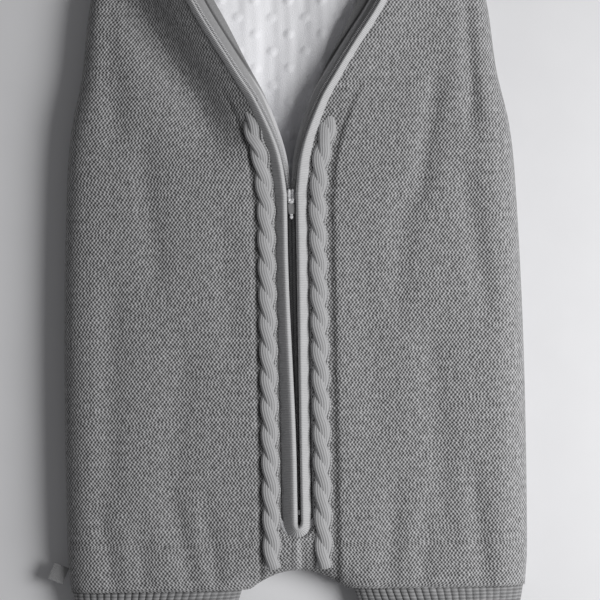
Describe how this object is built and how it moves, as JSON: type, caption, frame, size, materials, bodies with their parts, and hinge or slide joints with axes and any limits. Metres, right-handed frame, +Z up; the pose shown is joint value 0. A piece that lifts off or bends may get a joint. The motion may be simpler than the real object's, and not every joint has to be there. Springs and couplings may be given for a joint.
{
  "type": "baby sleeping bag",
  "caption": "Padded knitted baby sleeping bag with two short legs, ribbed cuffs, dotted plush lining and a front zip partly open in a V between knitted piping.",
  "frame": {"origin": "the middle of the back, on the surface that the bag lies on, under the zip's centre line and half-way from the cuff hems to the shoulder seams", "axes": "+X to the right-hand side seen from the front, +Y from the cuffs to the neck, +Z up out of the front"},
  "size_m": [0.4174, 0.7533, 0.0613],
  "materials": {
    "knit": "grey melange garter knit with raised cables",
    "rib": "grey melange rib knit",
    "piping": "light grey fine rib knit, folded into a round edge",
    "wadding": "white polyester wadding",
    "lining": "white short-pile plush with raised dots",
    "facing": "grey jersey",
    "zip_tape": "dark grey woven tape",
    "zip_coil": "grey nylon coil",
    "zip_metal": "silver, softly polished",
    "pull_grip": "matt grey sleeve",
    "label": "light grey woven ribbon, blank"
  },
  "bodies": {
    "bag": {"back_knit": "knit", "front_knit": "knit", "back_wadding": "wadding", "front_wadding": "wadding", "back_lining": "lining", "front_lining": "lining", "cuff_left": "rib", "cuff_right": "rib", "armhole_binding_left": "rib", "armhole_binding_right": "rib", "neck_binding": "rib", "piping_lower": "piping", "zip_tape_left": "zip_tape", "zip_tape_right": "zip_tape", "zip_coil_left": "zip_coil", "zip_coil_right": "zip_coil", "facing_lower": "facing", "bottom_stop": "zip_metal", "side_label": "label"},
    "left_edge": {"piping_left_edge": "piping", "zip_tape_left_edge": "zip_tape", "zip_coil_left_edge": "zip_coil", "facing_left_edge": "facing", "top_stop_left": "zip_metal"},
    "right_edge": {"piping_right_edge": "piping", "zip_tape_right_edge": "zip_tape", "zip_coil_right_edge": "zip_coil", "facing_right_edge": "facing", "top_stop_right": "zip_metal"},
    "slider": {"slider": "zip_metal"},
    "pull": {"pull": "zip_metal", "pull_grip": "pull_grip"}
  },
  "joints": [
    {"name": "left_edge_swing", "type": "hinge", "parent": "bag", "child": "left_edge", "pos_m": [-0.009, 0.011, 0.032], "axis": [-0.191, 0.9815, -0.0139], "range_deg": [0, 35]},
    {"name": "right_edge_swing", "type": "hinge", "parent": "bag", "child": "right_edge", "pos_m": [0.009, 0.011, 0.032], "axis": [-0.191, -0.9815, 0.0139], "range_deg": [0, 35]},
    {"name": "slider_travel", "type": "slide", "parent": "bag", "child": "slider", "axis": [0, -1, 0], "range_m": [0, 0.262]},
    {"name": "pull_flip", "type": "hinge", "parent": "slider", "child": "pull", "pos_m": [0, 0.006, 0.036], "axis": [-1, 0, 0], "range_deg": [0, 160]}
  ]
}
